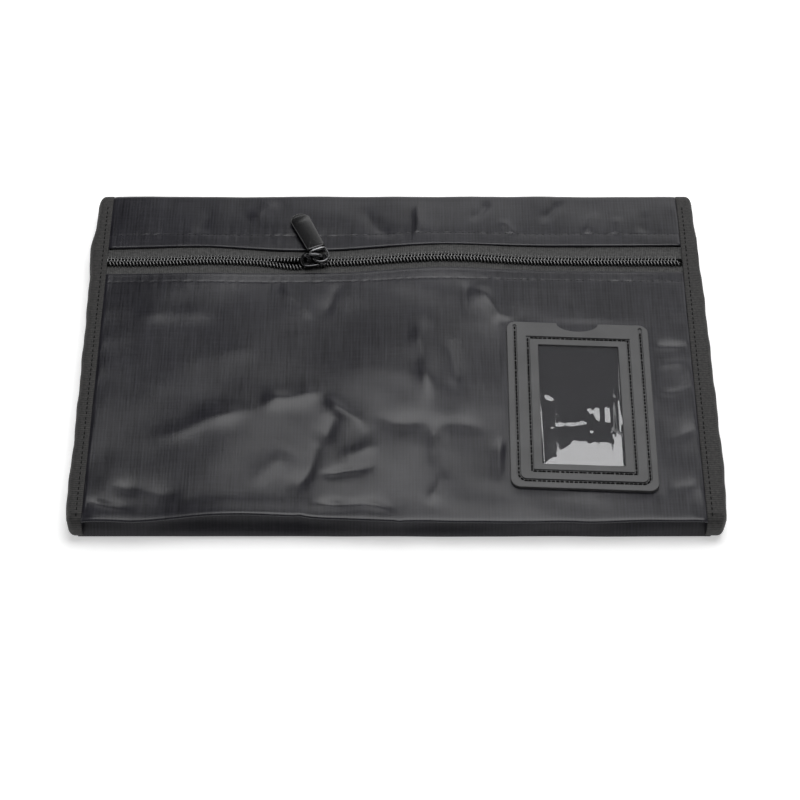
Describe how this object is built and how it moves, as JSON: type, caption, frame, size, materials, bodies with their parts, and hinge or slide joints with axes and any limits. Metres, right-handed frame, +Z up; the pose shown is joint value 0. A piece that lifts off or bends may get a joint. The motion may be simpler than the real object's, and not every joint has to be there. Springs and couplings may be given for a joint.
{
  "type": "fire-resistant battery storage bag",
  "caption": "Flat black zipped pouch with a fire-resistant liner, bound sides, a coil zip with slider, link and pull tab, and a rubber card holder with a clear window.",
  "frame": {"origin": "bottom centre of the bounding box, on the surface that the bag lies on", "axes": "+X along the zip, to the right seen from the front edge; +Y from the folded front edge towards the zip and the rear fold; +Z up, out of the front panel"},
  "size_m": [0.301, 0.2054, 0.019],
  "materials": {
    "black_nylon": "tightly woven coated nylon, soft sheen, lightly creased",
    "fire_liner": "silicone-coated glass-fibre cloth, hidden inside the bag",
    "binding_tape": "ribbed grosgrain edge binding",
    "zip_tape": "woven zip tape",
    "zip_coil": "black polyester monofilament, shiny on the turns",
    "zip_cord": "twisted core cord inside the coil",
    "thread": "black sewing thread",
    "holder_rubber": "soft moulded rubber, satin",
    "clear_film": "clear flexible film, glossy and slightly crinkled",
    "slider_metal": "die-cast slider, glossy black enamel",
    "link_metal": "glossy black wire",
    "tab_cover": "satin black moulded cover"
  },
  "bodies": {
    "bag": {"front_panel": "black_nylon", "bottom_gusset": "black_nylon", "top_band": "black_nylon", "back_panel": "black_nylon", "liner_front": "fire_liner", "liner_top": "fire_liner", "liner_back": "fire_liner", "binding_left": "binding_tape", "binding_right": "binding_tape", "zip_tape_lower": "zip_tape", "zip_tape_upper": "zip_tape", "zip_coil_lower": "zip_coil", "zip_coil_upper": "zip_coil", "zip_cord_lower": "zip_cord", "zip_cord_upper": "zip_cord", "stitch_zip_upper": "thread", "stitch_zip_lower": "thread", "stitch_binding_left": "thread", "stitch_binding_right": "thread", "stitch_id_outer": "thread", "stitch_id_inner": "thread", "id_frame": "holder_rubber", "id_window": "clear_film"},
    "slider": {"slider_body": "slider_metal"},
    "link": {"pull_link": "link_metal"},
    "tab": {"pull_tab_core": "link_metal", "pull_tab_cover": "tab_cover"}
  },
  "joints": [
    {"name": "slider_travel", "type": "slide", "parent": "bag", "child": "slider", "axis": [1, 0, 0], "range_m": [-0.0945, 0.174]},
    {"name": "link_swivel", "type": "hinge", "parent": "slider", "child": "link", "pos_m": [-0.03765, 0.05592, 0.01675], "axis": [0, 0, 1], "range_deg": [-215, 0]},
    {"name": "tab_lift", "type": "hinge", "parent": "link", "child": "tab", "pos_m": [-0.03944, 0.06004, 0.01675], "axis": [0.9171, 0.3987, 0], "range_deg": [0, 90]}
  ]
}
